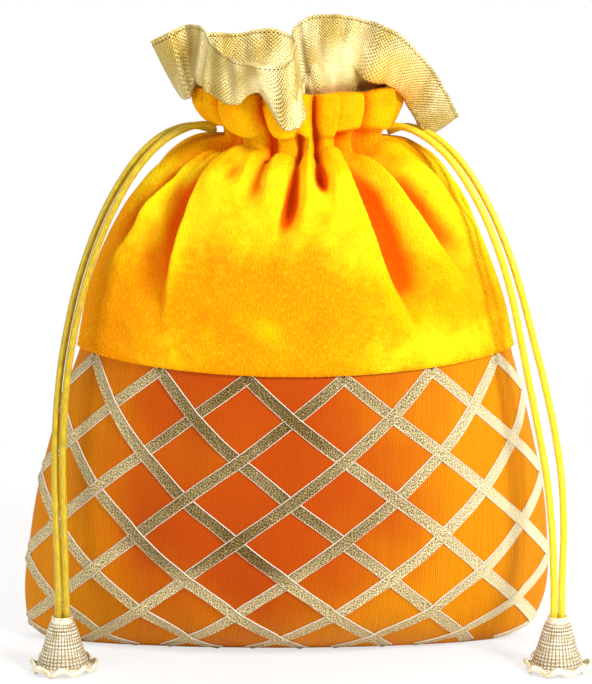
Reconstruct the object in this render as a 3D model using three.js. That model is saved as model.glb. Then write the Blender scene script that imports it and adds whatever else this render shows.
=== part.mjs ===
// A potli bag: a gathered drawstring pouch, standing on its own bottom.
// Its lower half is ribbed silk with a lattice of gold lace tape, its upper half is velvet that
// is drawn in by two cords, and a frill of gold tissue stands out of the velvet's turned-in top.
// Millimetres, +Z up. X runs to the bag's right as seen from the front, and the front faces -Y.
// The origin lies on the floor, in the middle of the bag.
import * as THREE from 'three';

// Cloth
const silkWall = 0.9;
const velvetWall = 1.1;
const tissueWall = 0.5;
const seamGap = 0.3;
const clearance = 0.3;

// Body: each girth is one level of the bag's outer skin, from the bottom seam to the collar's top.
// left and right are its reach from the middle plane, depth is half its thickness, and dip is how
// far its front and back hang below its sides. sides is 1 for an oval and more for pointed sides.
const girths = [
  { height: 0, left: 88, right: 79, depth: 0, dip: 0, sides: 1 },
  { height: 0, left: 96, right: 87, depth: 14, dip: 0, sides: 1.2 },
  { height: 3, left: 101.5, right: 94, depth: 21, dip: 0, sides: 1.3 },
  { height: 8, left: 104.6, right: 100, depth: 28, dip: 0, sides: 1.4 },
  { height: 16, left: 105.6, right: 103.8, depth: 35, dip: 0, sides: 1.45 },
  { height: 26, left: 105.4, right: 105.6, depth: 40, dip: 0, sides: 1.45 },
  { height: 40, left: 103.5, right: 105.3, depth: 43.5, dip: 0.5, sides: 1.4 },
  { height: 58, left: 100.6, right: 103.8, depth: 45, dip: 1.5, sides: 1.4 },
  { height: 78, left: 95.8, right: 100, depth: 44.6, dip: 2.5, sides: 1.35 },
  { height: 99, left: 89.5, right: 95, depth: 43, dip: 3.2, sides: 1.3 },
  { height: 121, left: 81.5, right: 89, depth: 41, dip: 3.7, sides: 1.25 },
  { height: 140, left: 77.5, right: 84.5, depth: 39.5, dip: 3.7, sides: 1.2 },
  { height: 157, left: 72, right: 78.5, depth: 37.5, dip: 3.7, sides: 1.1 },
  { height: 172, left: 64.5, right: 72, depth: 35, dip: 3.7, sides: 1 },
  { height: 185, left: 55.5, right: 64.5, depth: 32.5, dip: 3.5, sides: 1 },
  { height: 194, left: 46.5, right: 56.5, depth: 29.5, dip: 3.5, sides: 1 },
  { height: 200, left: 36.5, right: 47.5, depth: 26, dip: 3.5, sides: 1 },
  { height: 203.5, left: 26, right: 38.5, depth: 22, dip: 3.5, sides: 1 },
  { height: 209.5, left: 26, right: 38.5, depth: 22, dip: 3, sides: 1 },
  { height: 214, left: 31.5, right: 41, depth: 24.5, dip: 2, sides: 1 },
  { height: 219, left: 34.5, right: 43, depth: 26.5, dip: 1, sides: 1 },
  { height: 223.5, left: 34, right: 42.5, depth: 26.5, dip: 0, sides: 1 },
];
const rimGirth = 1;
const hemGirth = 10;
const shoulderGirth = 14;
const throatGirth = 17;
const collarTop = girths.length - 1;

// Lower half and its lattice. The lattice has this many half pitches across and up a panel.
const latticeColumns = 12;
const latticeRows = 8;
const latticeDrop = 1.2;
const hemOverlap = 6;
const tapeWidth = 4.7;
const tapeWall = 0.4;
const tapeSeat = 0.7;
const tapeLift = 0.7;
const bridgeShare = 0.17;
const bottomStop = 0.67;
const seamStop = 0.97;
const tapeLowestRow = 0.05;
const tapeEdgeShare = 0.995;

// Velvet: how far it stands proud of the silk at its hem, and the columns of its mesh
const hemLift = 0.6;
const frontColumns = 40;
const backColumns = 30;

// Folds are valleys pressed into the velvet. neck and foot are its place across the panel, from
// -1 at the left seam to 1 at the right one, at the neck and at its foot; reach is the height of
// its foot and half is its half width in the same shares. shoulder, throat and collar are its depths.
const frontFolds = [
  { neck: -0.79, foot: -0.88, reach: 168, half: 0.11, shoulder: 4.5, throat: 4, collar: 2.5 },
  { neck: -0.53, foot: -0.43, reach: 138, half: 0.15, shoulder: 9, throat: 5, collar: 3.5 },
  { neck: -0.25, foot: -0.21, reach: 188, half: 0.1, shoulder: 3.5, throat: 5, collar: 4 },
  { neck: -0.02, foot: -0.06, reach: 172, half: 0.11, shoulder: 7, throat: 4.5, collar: 0.8 },
  { neck: 0.13, foot: 0.15, reach: 190, half: 0.09, shoulder: 2.5, throat: 5, collar: 4.5 },
  { neck: 0.36, foot: 0.45, reach: 126, half: 0.15, shoulder: 10, throat: 5, collar: 0.5 },
  { neck: 0.58, foot: 0.72, reach: 150, half: 0.13, shoulder: 6, throat: 5, collar: 3.5 },
  { neck: 0.82, foot: 0.88, reach: 180, half: 0.1, shoulder: 3, throat: 4, collar: 2 },
];
const backFolds = [
  { neck: -0.74, foot: -0.8, reach: 150, half: 0.13, shoulder: 5, throat: 4.5, collar: 3 },
  { neck: -0.46, foot: -0.42, reach: 132, half: 0.15, shoulder: 8.5, throat: 5, collar: 2 },
  { neck: -0.16, foot: -0.12, reach: 166, half: 0.12, shoulder: 6, throat: 5, collar: 4 },
  { neck: 0.12, foot: 0.16, reach: 142, half: 0.13, shoulder: 7.5, throat: 5, collar: 1 },
  { neck: 0.42, foot: 0.46, reach: 134, half: 0.15, shoulder: 9, throat: 5, collar: 3.5 },
  { neck: 0.74, foot: 0.8, reach: 158, half: 0.13, shoulder: 5, throat: 4.5, collar: 2 },
];

// Drawcords: two loops run in the casing, between the velvet and its turned-in top.
const cordDiameter = 2.8;
const cordSides = 8;
const deepestThroatFold = 5;
const casingRoom = 0.8;
const casingCordLevels = [204.6, 207.8];
const casingCordSteps = 26;
const casingCordPoints = 24;
const casingCordGap = 1.15;
const slitShare = 0.11;

// Turned-in top: it comes down inside the collar and past the cords.
const turnInDepth = 3.4;
const turnInPuckers = 0.35;
const turnInLevels = [219, 212, 201.5];
const foldRise = 1.6;

// Frill: each station has its hem and its belly point, halfway up, going from the left seam to the
// right one. Its foot is sewn inside the collar.
const frillFootLevel = 215;
const frillRoom = 0.5;
const frillRise = 2.2;
const frillBendShare = 0.64;
const frillBendLift = 1.2;
const frontFrillColumns = 32;
const backFrillColumns = 24;
const frontFrill = [
  { hem: [-54, -1, 244], belly: [-47, -4, 229] },
  { hem: [-46, -5, 249], belly: [-42, -11, 231] },
  { hem: [-39, -1, 251], belly: [-36, -10, 236] },
  { hem: [-32, -8, 251], belly: [-33, -20, 233] },
  { hem: [-28, -20, 247], belly: [-29, -29, 229] },
  { hem: [-21, -31, 243], belly: [-22, -34, 227] },
  { hem: [-11, -37, 241.5], belly: [-10, -36, 225] },
  { hem: [-2, -34, 241.5], belly: [1, -38, 218] },
  { hem: [3, -22, 244.5], belly: [7, -34, 219] },
  { hem: [3, -8, 250], belly: [7, -22, 232] },
  { hem: [8, 2, 253.5], belly: [9, -14, 239] },
  { hem: [19, -3, 255.5], belly: [15, -17, 239] },
  { hem: [31, -9, 254], belly: [25, -21, 237] },
  { hem: [42, -14, 249.5], belly: [35, -21, 233] },
  { hem: [54, -13, 238], belly: [45, -17, 229] },
  { hem: [67.5, -1, 214], belly: [53, -5, 219] },
];
const backFrill = [
  { hem: [-54, 1, 244], belly: [-47, 4, 229] },
  { hem: [-48, 13, 243], belly: [-42, 16, 229] },
  { hem: [-34, 27, 241], belly: [-31, 25, 230] },
  { hem: [-20, 38, 240], belly: [-19, 32, 230] },
  { hem: [-7, 34, 243], belly: [-6, 29, 232] },
  { hem: [6, 41, 240], belly: [6, 35, 230] },
  { hem: [19, 35, 243], belly: [17, 29, 232] },
  { hem: [32, 38, 238], belly: [28, 31, 229] },
  { hem: [45, 24, 229], belly: [38, 22, 227] },
  { hem: [56, 13, 212], belly: [46, 13, 221] },
  { hem: [67.5, 1, 214], belly: [53, 5, 219] },
];

// Free ends of the drawcords, as points on their centrelines from the casing's slit down to the
// cone's mouth. The last point of each lies in the cone, above its knot.
const cordRoutes = {
  left_cord_front_strand: [
    [-27.5, -2.2, 208.6], [-33, -4.4, 209.6], [-39, -7.2, 208.4], [-46, -10, 205], [-53, -13, 199],
    [-60, -15.8, 190], [-66.5, -18.4, 178.5], [-72.5, -20.4, 165], [-77.5, -21.8, 150],
    [-81.5, -23, 134], [-84.5, -24.4, 117], [-86.3, -26.6, 99], [-87, -29.6, 80],
    [-86.6, -33.4, 60], [-86, -37.6, 41], [-85.6, -40.8, 28.5],
  ],
  left_cord_back_strand: [
    [-27.5, 2.2, 206], [-34, 0.6, 208.4], [-41, -2.6, 208.3], [-49, -5.8, 205], [-56.5, -9, 198.6],
    [-63.5, -12, 189.4], [-70, -14.8, 178], [-75.8, -17, 164.6], [-80.8, -18.6, 149.6],
    [-84.7, -20.2, 133.6], [-87.7, -22, 116.6], [-89.5, -24.8, 98.6], [-90.2, -28.4, 79.6],
    [-89.8, -32.8, 59.6], [-89, -37.4, 40.6], [-88.6, -40.8, 28.5],
  ],
  right_cord_inner_strand: [
    [40, -2.2, 208.6], [45, -4.4, 208.8], [51, -7.4, 207], [58, -10.6, 202.6], [65, -13.6, 195.6],
    [71.5, -16.4, 186], [77.5, -18.8, 174.5], [83, -20.6, 160.5], [87.5, -22, 145.5],
    [91, -23.2, 129.5], [94.5, -24.8, 112], [98.4, -27.2, 93], [101.8, -30.4, 74],
    [103.8, -34.4, 55], [104.4, -38.2, 38.5], [104.5, -40.8, 28.5],
  ],
  right_cord_outer_strand: [
    [40, 2.2, 206], [46.5, 0.4, 208.2], [53.5, -3, 207], [61, -6.6, 202.8], [68.5, -10, 195.4],
    [75.2, -13.2, 185.6], [81.4, -16, 173.8], [87, -18.2, 160], [91.8, -19.8, 145],
    [96, -21.4, 129], [100.6, -23.4, 111.5], [104.8, -26, 92.6], [107.6, -29.6, 73.6],
    [108.4, -33.9, 54.6], [107.8, -38, 38.2], [107.5, -40.8, 28.5],
  ],
};
const cordStepLength = 8;

// Cones: woven bells on the cords' ends, open below, with a curled lip. A knot holds each one.
// The outline runs from the mouth down to the lip, as radius and height.
const coneOutline = [[3.7, 22.1], [5, 18.6], [7.4, 10.6], [9.4, 4.4], [9.7, 2.8], [11.6, 0]];
const coneWall = 0.6;
const coneSides = 24;
const lipHeight = 2.8;
const lipWaves = 6;
const lipWave = 0.9;
const strandSpread = 1.55;
const strandEnd = 19.5;
const knotRadius = 2.9;
const knotSides = 10;
const knotRings = 7;
const cones = [
  {
    name: 'left_woven_cone',
    knot: 'left_cord_knot',
    at: [-87.1, -42],
    strands: ['left_cord_front_strand', 'left_cord_back_strand'],
  },
  {
    name: 'right_woven_cone',
    knot: 'right_cord_knot',
    at: [106, -42],
    strands: ['right_cord_inner_strand', 'right_cord_outer_strand'],
  },
];

const silk = { color: 0xef7f0e, roughness: 0.55, metalness: 0 };
const velvet = { color: 0xffb400, roughness: 0.9, metalness: 0 };
const tissue = { color: 0xdcc07a, roughness: 0.38, metalness: 0.6 };
const lace = { color: 0xd2bd80, roughness: 0.35, metalness: 0.7 };
const satin = { color: 0xeed514, roughness: 0.45, metalness: 0 };
const zari = { color: 0xcdbb94, roughness: 0.35, metalness: 0.7 };

const bag = new THREE.Group();
const front = -1;
const back = 1;

function addPiece(name, geometry, finish) {
  const piece = new THREE.Mesh(geometry, new THREE.MeshStandardMaterial(finish));
  piece.name = name;
  bag.add(piece);
}

const mix = (a, b, share) => a + (b - a) * share;
const clamp = THREE.MathUtils.clamp;
const smooth = THREE.MathUtils.smoothstep;

function mixGirths(a, b, share) {
  const mixed = {};
  for (const key of Object.keys(a)) {
    mixed[key] = mix(a[key], b[key], share);
  }
  return mixed;
}

// Cloth length along the middle of the front, from the bottom seam up to each girth
const girthLengths = [0];
for (let i = 1; i < girths.length; i++) {
  const rise = girths[i].height - girths[i].dip - girths[i - 1].height + girths[i - 1].dip;
  girthLengths.push(girthLengths[i - 1] + Math.hypot(rise, girths[i].depth - girths[i - 1].depth));
}

// The level at a cloth length, as a girth number with a fraction
function levelAt(length) {
  let i = 0;
  while (i < girths.length - 2 && girthLengths[i + 1] < length) i++;
  return i + (length - girthLengths[i]) / (girthLengths[i + 1] - girthLengths[i]);
}

function girthAt(level) {
  const i = clamp(Math.floor(level), 0, girths.length - 2);
  return mixGirths(girths[i], girths[i + 1], level - i);
}

// A point of a girth, at an angle of -90 degrees at the left seam to 90 at the right one
function ovalPoint(girth, side, angle) {
  const bulge = Math.cos(angle);
  const middle = (girth.right - girth.left) / 2;
  const half = (girth.right + girth.left) / 2;
  const halfSeam = seamGap / 2;
  return new THREE.Vector3(
    middle + half * Math.sin(angle),
    side * (halfSeam + Math.max(girth.depth - halfSeam, 0) * bulge ** girth.sides),
    girth.height - girth.dip * bulge ** 2,
  );
}

const angleSteps = 60;
const seamAngle = Math.PI / 2 - 1e-9;

// The lengths along a girth's front at equal steps of its angle, from the left seam
function stepLengths(girth) {
  const lengths = [0];
  let last = ovalPoint(girth, front, -seamAngle);
  for (let i = 1; i <= angleSteps; i++) {
    const next = ovalPoint(girth, front, seamAngle * ((2 * i) / angleSteps - 1));
    lengths.push(lengths[i - 1] + next.distanceTo(last));
    last = next;
  }
  return lengths;
}

// The angle of a girth at a share of its length, from -1 at the left seam to 1 at the right one
function evenAngle(girth, share) {
  const lengths = stepLengths(girth);
  const wanted = (lengths[angleSteps] * (share + 1)) / 2;
  let i = 0;
  while (i < angleSteps - 1 && lengths[i + 1] < wanted) i++;
  const part = clamp((wanted - lengths[i]) / (lengths[i + 1] - lengths[i]), 0, 1);
  return seamAngle * ((2 * (i + part)) / angleSteps - 1);
}

// A point of the bag's plain skin at a share across a panel and a level up it
function plainPoint(side, share, level) {
  const girth = girthAt(level);
  return ovalPoint(girth, side, evenAngle(girth, share));
}

// The outward normal of a surface given as a function of share and level
const shareStep = 0.01;
const levelStep = 0.02;
const edgeShare = 0.97;
function normalOf(surface, side, share, level) {
  const s = clamp(share, -edgeShare, edgeShare);
  const l = clamp(level, levelStep, collarTop - levelStep);
  const across = surface(s + shareStep, l).sub(surface(s - shareStep, l));
  const up = surface(s, l + levelStep).sub(surface(s, l - levelStep));
  const normal = across.cross(up).multiplyScalar(-side);
  if (Math.abs(share) >= 1) normal.y = 0;
  return normal.normalize();
}

// How deep the folds press in at a share across the panel and a level up it
function foldDepth(folds, share, level) {
  if (level <= hemGirth) return 0;
  const height = girthAt(level).height;
  const shoulderHeight = girths[shoulderGirth].height;
  const throatHeight = girths[throatGirth].height;
  let depth = 0;
  for (const fold of folds) {
    const climb = clamp((height - fold.reach) / (throatHeight - fold.reach), 0, 1);
    const place = mix(fold.foot, fold.neck, climb);
    const off = Math.abs(share - place) / fold.half;
    if (off >= 1 || height <= fold.reach) continue;
    let deep;
    if (height < shoulderHeight) {
      deep = fold.shoulder * smooth(height, fold.reach, shoulderHeight);
    } else if (level <= throatGirth + 1) {
      deep = mix(fold.shoulder, fold.throat, smooth(height, shoulderHeight, throatHeight));
    } else {
      deep = mix(fold.throat, fold.collar, smooth(level, throatGirth + 1, throatGirth + 2));
    }
    depth += deep * Math.cos((off * Math.PI) / 2) ** 2;
  }
  return Math.min(depth, level >= throatGirth ? deepestThroatFold : depth);
}

// The velvet's outer face. It lies outside the silk at the hem.
function velvetPoint(side, folds, share, level) {
  const plain = (s, l) => plainPoint(side, s, l);
  const normal = normalOf(plain, side, share, level);
  const out = hemLift + velvetWall - foldDepth(folds, share, level);
  return plain(share, level).addScaledVector(normal, out);
}

// Joins an outer and an inner grid of points into one closed body that faces outwards.
function shell(outer, inner) {
  const rows = outer.length;
  const columns = outer[0].length;
  const points = [...outer.flat(), ...inner.flat()];
  const index = [];
  const at = (skin, i, j) => skin * rows * columns + i * columns + j;
  const quad = (a, b, c, d) => index.push(a, b, c, a, c, d);
  for (let j = 0; j < columns - 1; j++) {
    quad(at(1, 0, j), at(1, 0, j + 1), at(0, 0, j + 1), at(0, 0, j));
    quad(at(0, rows - 1, j), at(0, rows - 1, j + 1), at(1, rows - 1, j + 1), at(1, rows - 1, j));
  }
  for (let i = 0; i < rows - 1; i++) {
    quad(at(0, i, 0), at(0, i + 1, 0), at(1, i + 1, 0), at(1, i, 0));
    const end = columns - 1;
    quad(at(1, i, end), at(1, i + 1, end), at(0, i + 1, end), at(0, i, end));
  }
  for (let i = 0; i < rows - 1; i++) {
    for (let j = 0; j < columns - 1; j++) {
      if ((i + j) % 2 === 0) {
        quad(at(0, i, j), at(0, i, j + 1), at(0, i + 1, j + 1), at(0, i + 1, j));
        quad(at(1, i, j), at(1, i + 1, j), at(1, i + 1, j + 1), at(1, i, j + 1));
      } else {
        quad(at(0, i, j + 1), at(0, i + 1, j + 1), at(0, i + 1, j), at(0, i, j));
        quad(at(1, i, j + 1), at(1, i, j), at(1, i + 1, j), at(1, i + 1, j + 1));
      }
    }
  }
  const geometry = new THREE.BufferGeometry().setFromPoints(points);
  geometry.setIndex(facingOut(points, index));
  geometry.computeVertexNormals();
  return geometry;
}

// The faces in their order, or turned round where they enclose a negative volume
function facingOut(points, index) {
  let volume = 0;
  for (let i = 0; i < index.length; i += 3) {
    const [a, b, c] = [points[index[i]], points[index[i + 1]], points[index[i + 2]]];
    volume += a.dot(b.clone().cross(c));
  }
  return volume > 0 ? index : [...index].reverse();
}

const evenShares = (count) => Array.from({ length: count + 1 }, (_, j) => (2 * j) / count - 1);

// Lower panels: silk from the bottom seam up, and under the velvet's hem
const rimLength = girthLengths[rimGirth];
const hemLength = girthLengths[hemGirth];
const latticeStep = (hemLength - latticeDrop - rimLength) / latticeRows;
const latticeLevels = Array.from({ length: latticeRows + 1 }, (_, k) => {
  return levelAt(rimLength + k * latticeStep);
});
const silkLevels = [0, ...latticeLevels, levelAt(hemLength + hemOverlap)];

function silkPoint(side, share, level, lift) {
  const plain = (s, l) => plainPoint(side, s, l);
  const normal = normalOf(plain, side, share, level);
  return plain(share, level).addScaledVector(normal, lift);
}

function lowerPanel(side) {
  const shares = evenShares(latticeColumns);
  const skin = (lift) => silkLevels.map((level) => shares.map((s) => silkPoint(side, s, level, lift)));
  return shell(skin(0), skin(-silkWall));
}

// The cut width of a panel, measured where the bag is fullest
const fullest = girths.reduce((a, b) => (b.depth > a.depth ? b : a));
const panelWidth = stepLengths(fullest)[angleSteps];

// A lattice tape runs along the diagonals of the lattice's cells. The tapes that rise to the right
// lie on the silk, and the others bridge over them at each crossing.
function tapeLines(lean) {
  const lines = [];
  for (let start = -latticeColumns - latticeRows; start <= 2 * latticeColumns; start++) {
    const cells = [];
    for (let k = 0; k <= latticeRows; k++) {
      const i = start + lean * k;
      if (i >= 0 && i <= latticeColumns) cells.push([i, k]);
    }
    if (cells.length > 1 && start % 2 !== 0) lines.push(cells);
  }
  return lines;
}

// The places along a tape's centre, as [column, row] with fractions
function tapeStations(cells, over) {
  const places = [];
  const last = cells.length - 1;
  cells.forEach(([i, k], n) => {
    const step = n < last ? [cells[n + 1][0] - i, 1] : [i - cells[n - 1][0], 1];
    const shifted = (share) => [i + step[0] * share, k + step[1] * share];
    if (n === 0) {
      places.push(shifted(k === 0 ? 1 - bottomStop : 1 - seamStop));
    } else if (n === last) {
      places.push(shifted(k === latticeRows ? 0 : seamStop - 1));
    } else if (over) {
      places.push(shifted(-bridgeShare), shifted(bridgeShare));
    } else {
      places.push([i, k]);
    }
  });
  return places;
}

function latticeTape(side, cells, over) {
  const lean = cells[1][0] - cells[0][0];
  const across = latticeColumns / 2;
  const cellWidth = panelWidth / latticeColumns;
  const slant = Math.hypot(cellWidth, latticeStep);
  const low = over ? tapeSeat + tapeWall + tapeLift : tapeSeat;
  const stations = tapeStations(cells, over);
  const rows = stations.map(([i, k], n) => {
    const ends = n === 0 || n === stations.length - 1;
    const [, nearRow] = n === 0 ? cells[0] : cells[cells.length - 1];
    const level = ends && (nearRow === 0 || nearRow === latticeRows);
    // An end is cut along the seam or the hem; elsewhere the tape's width is square to its length.
    let [sideways, upwards] = [-lean * latticeStep, cellWidth].map((v) => (tapeWidth * v) / (2 * slant));
    if (ends && level) {
      [sideways, upwards] = [(-lean * tapeWidth * slant) / (2 * latticeStep), 0];
    } else if (ends) {
      [sideways, upwards] = [0, (tapeWidth * slant) / (2 * cellWidth)];
    }
    return [1, -1].map((way) => {
      const share = (i + (way * sideways) / cellWidth) / across - 1;
      const row = clamp(k + (way * upwards) / latticeStep, tapeLowestRow, latticeRows);
      return [clamp(share, -tapeEdgeShare, tapeEdgeShare), levelAt(rimLength + row * latticeStep)];
    });
  });
  const skin = (lift) => rows.map((row) => row.map(([s, l]) => silkPoint(side, s, l, lift)));
  return shell(skin(low + tapeWall), skin(low));
}

// The share at which a velvet panel's column stands. The side seams stay open at the throat, where
// the cords come out.
function sideShare(share, level) {
  const open = level >= throatGirth && level <= throatGirth + 1 ? slitShare : 0;
  return Math.abs(share) >= 1 ? share * (1 - open) : share * (1 - open / 2);
}

// A point of the turned-in top at a height, moved inwards by an inset
function turnInPoint(side, folds, share, height, inset) {
  const level = levelAtHeight(height);
  const girth = { ...girthAt(level) };
  const cordOval = throatOval();
  const nearThroat = smooth(height, girths[throatGirth + 1].height, girths[collarTop].height);
  const lining = cordDiameter / 2 + casingRoom + velvetWall + inset;
  const collarInset = velvetWall + turnInDepth + inset;
  for (const key of ['left', 'right', 'depth']) {
    girth[key] = mix(cordOval[key] - lining, girth[key] - collarInset, nearThroat);
  }
  girth.height = height;
  girth.sides = 1;
  const puckers = foldDepth(folds, share, Math.max(level, throatGirth + 1)) * turnInPuckers;
  const angle = (share * Math.PI) / 2;
  const point = ovalPoint(girth, side, clamp(angle, -seamAngle, seamAngle));
  const middle = (girth.right - girth.left) / 2;
  const way = new THREE.Vector3(point.x - middle, point.y, 0).normalize();
  if (Math.abs(share) >= 1) way.y = 0;
  return point.addScaledVector(way, -puckers);
}

// The level whose girth is at a height, above the hem
function levelAtHeight(height) {
  let i = hemGirth;
  while (i < girths.length - 2 && girths[i + 1].height < height) i++;
  return i + clamp((height - girths[i].height) / (girths[i + 1].height - girths[i].height), 0, 1);
}

// The oval that the cords take inside the throat's deepest folds
function throatOval() {
  const throat = girths[throatGirth];
  const inset = deepestThroatFold + clearance + cordDiameter / 2 - hemLift;
  return {
    left: throat.left - inset,
    right: throat.right - inset,
    depth: throat.depth - inset,
  };
}

// Velvet panels: up from the hem, through the gathered throat to the collar's top, then turned in
// and down past the cords
function velvetPanel(side, folds, columns) {
  const shares = evenShares(columns);
  const outer = [];
  const inner = [];
  for (let level = hemGirth; level <= collarTop; level++) {
    const face = (s, l) => velvetPoint(side, folds, s, l);
    const row = shares.map((s) => sideShare(s, level));
    outer.push(row.map((s) => face(s, level)));
    inner.push(row.map((s, j) => {
      const normal = normalOf(face, side, s, Math.max(level, hemGirth + levelStep));
      if (j === 0 || j === columns) normal.y = 0;
      return face(s, level).addScaledVector(normal, -velvetWall);
    }));
  }
  const topHeight = girths[collarTop].height + foldRise;
  const apex = shares.map((s, j) => {
    const out = inner[inner.length - 1][j];
    const turned = turnInPoint(side, folds, s, turnInLevels[0], -velvetWall);
    return out.clone().lerp(turned, 0.5).setZ(topHeight);
  });
  outer.push(apex);
  inner.push(apex.map((p) => p.clone().setZ(topHeight - velvetWall)));
  for (const height of turnInLevels) {
    outer.push(shares.map((s) => turnInPoint(side, folds, s, height, 0)));
    inner.push(shares.map((s) => turnInPoint(side, folds, s, height, -velvetWall)));
  }
  return shell(outer, inner);
}

// A point of the frill inside the collar
function frillFoot(side, folds, share, height) {
  return turnInPoint(side, folds, share, height, frillRoom + tissueWall / 2);
}

// Frill: one piece of gold tissue for the front and one for the back
function frillPiece(side, folds, stations, columns) {
  const curveOf = (key) => new THREE.CatmullRomCurve3(
    stations.map((station) => new THREE.Vector3(...station[key])), false, 'centripetal');
  const hems = curveOf('hem');
  const bellies = curveOf('belly');
  const heights = [frillFootLevel, girths[collarTop].height + foldRise + frillRise];
  const sheet = heights.map(() => []);
  sheet.push([], [], []);
  for (let j = 0; j <= columns; j++) {
    const share = (2 * j) / columns - 1;
    const foot = frillFoot(side, folds, share, heights[0]);
    const lip = frillFoot(side, folds, share, girths[collarTop].height);
    lip.z = heights[1];
    const hem = hems.getPoint(j / columns);
    const belly = bellies.getPoint(j / columns);
    for (const point of [foot, lip, belly, hem]) {
      point.y = side * Math.max(side * point.y, seamGap / 2 + tissueWall);
    }
    sheet[0].push(foot);
    sheet[1].push(lip);
    const bend = lip.clone().lerp(belly, frillBendShare);
    bend.z += frillBendLift;
    sheet[2].push(bend);
    sheet[3].push(belly);
    sheet[4].push(hem);
  }
  return shell(...thickened(sheet, tissueWall));
}

// Both faces of a sheet of points, half the wall to each side of it
function thickened(sheet, wall) {
  const faces = [[], []];
  sheet.forEach((row, i) => {
    const below = sheet[Math.max(i - 1, 0)];
    const above = sheet[Math.min(i + 1, sheet.length - 1)];
    faces.forEach((face) => face.push([]));
    row.forEach((point, j) => {
      const along = row[Math.min(j + 1, row.length - 1)].clone().sub(row[Math.max(j - 1, 0)]);
      const normal = along.cross(above[j].clone().sub(below[j])).normalize();
      faces[0][i].push(point.clone().addScaledVector(normal, wall / 2));
      faces[1][i].push(point.clone().addScaledVector(normal, -wall / 2));
    });
  });
  return faces;
}

// Cords: round tubes along a curve through their points
function cordTube(points, steps) {
  const curve = new THREE.CatmullRomCurve3(points, false, 'centripetal');
  const section = new THREE.Shape();
  for (let i = 0; i < cordSides; i++) {
    const angle = (2 * Math.PI * i) / cordSides;
    const x = (cordDiameter / 2) * Math.cos(angle);
    const y = (cordDiameter / 2) * Math.sin(angle);
    if (i === 0) section.moveTo(x, y);
    else section.lineTo(x, y);
  }
  section.closePath();
  return new THREE.ExtrudeGeometry(section, { steps, bevelEnabled: false, extrudePath: curve });
}

function freeStrand(route, end) {
  const points = [...route, end].map((p) => new THREE.Vector3(...p));
  const length = new THREE.CatmullRomCurve3(points, false, 'centripetal').getLength();
  return cordTube(points, Math.round(length / cordStepLength));
}

// The part of a drawcord inside the casing: once round the throat, from its slit back to its slit
function casingRun(exitSide, height) {
  const oval = throatOval();
  const middle = (oval.right - oval.left) / 2;
  const half = (oval.right + oval.left) / 2;
  const gapAngle = Math.asin((cordDiameter / 2 + clearance) / oval.depth) * casingCordGap;
  const points = [];
  for (let i = 0; i <= casingCordPoints; i++) {
    const turn = mix(gapAngle, 2 * Math.PI - gapAngle, i / casingCordPoints);
    const dip = girths[throatGirth].dip * Math.sin(turn) ** 2;
    points.push(new THREE.Vector3(
      middle + exitSide * half * Math.cos(turn),
      -oval.depth * Math.sin(turn),
      height - dip,
    ));
  }
  return cordTube(points, casingCordSteps);
}

// Cone: a turned wall, flared at its lip, whose lip rises and falls in waves
function wovenCone(x, y) {
  const profile = [
    ...coneOutline.map(([r, z]) => new THREE.Vector2(r, z)),
    ...coneOutline.toReversed().map(([r, z]) => new THREE.Vector2(r - coneWall, z)),
  ];
  profile.push(profile[0].clone());
  const geometry = new THREE.LatheGeometry(profile.toReversed(), coneSides);
  geometry.rotateX(Math.PI / 2);
  const place = geometry.attributes.position;
  for (let i = 0; i < place.count; i++) {
    const [px, py, pz] = [place.getX(i), place.getY(i), place.getZ(i)];
    if (pz > lipHeight) continue;
    const wave = Math.cos(lipWaves * Math.atan2(py, px));
    const reach = 1 + (lipWave * wave) / Math.hypot(px, py);
    const lift = pz < lipHeight ? (lipWave / 2) * (1 - wave) : 0;
    place.setXYZ(i, px * reach, py * reach, pz + lift);
  }
  geometry.translate(x, y, 0);
  return geometry;
}

// Stacks the bag from the floor up.
for (const [name, side] of [['front', front], ['back', back]]) {
  addPiece(`lower_${name}_panel`, lowerPanel(side), silk);
  for (const [family, lean, over] of [['rising', 1, false], ['falling', -1, true]]) {
    tapeLines(lean).forEach((cells, n) => {
      addPiece(`${name}_${family}_tape_${n + 1}`, latticeTape(side, cells, over), lace);
    });
  }
}
addPiece('velvet_front_panel', velvetPanel(front, frontFolds, frontColumns), velvet);
addPiece('velvet_back_panel', velvetPanel(back, backFolds, backColumns), velvet);
addPiece('gold_frill_front', frillPiece(front, frontFolds, frontFrill, frontFrillColumns), tissue);
addPiece('gold_frill_back', frillPiece(back, backFolds, backFrill, backFrillColumns), tissue);
addPiece('left_cord_casing_run', casingRun(-1, casingCordLevels[1]), satin);
addPiece('right_cord_casing_run', casingRun(1, casingCordLevels[0]), satin);
for (const { name, knot, at, strands } of cones) {
  const [x, y] = at;
  const outwards = Math.sign(x) * strandSpread;
  for (const [strand, way] of [[strands[0], -outwards], [strands[1], outwards]]) {
    addPiece(strand, freeStrand(cordRoutes[strand], [x + way, y, strandEnd]), satin);
  }
  addPiece(name, wovenCone(x, y), zari);
  const ball = new THREE.SphereGeometry(knotRadius, knotSides, knotRings);
  ball.translate(x, y, strandEnd - clearance - knotRadius);
  addPiece(knot, ball, satin);
}

export default bag;
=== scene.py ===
"""A potli bag: a gathered velvet and silk pouch on two drawcords, standing on a pale floor."""
import math

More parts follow.
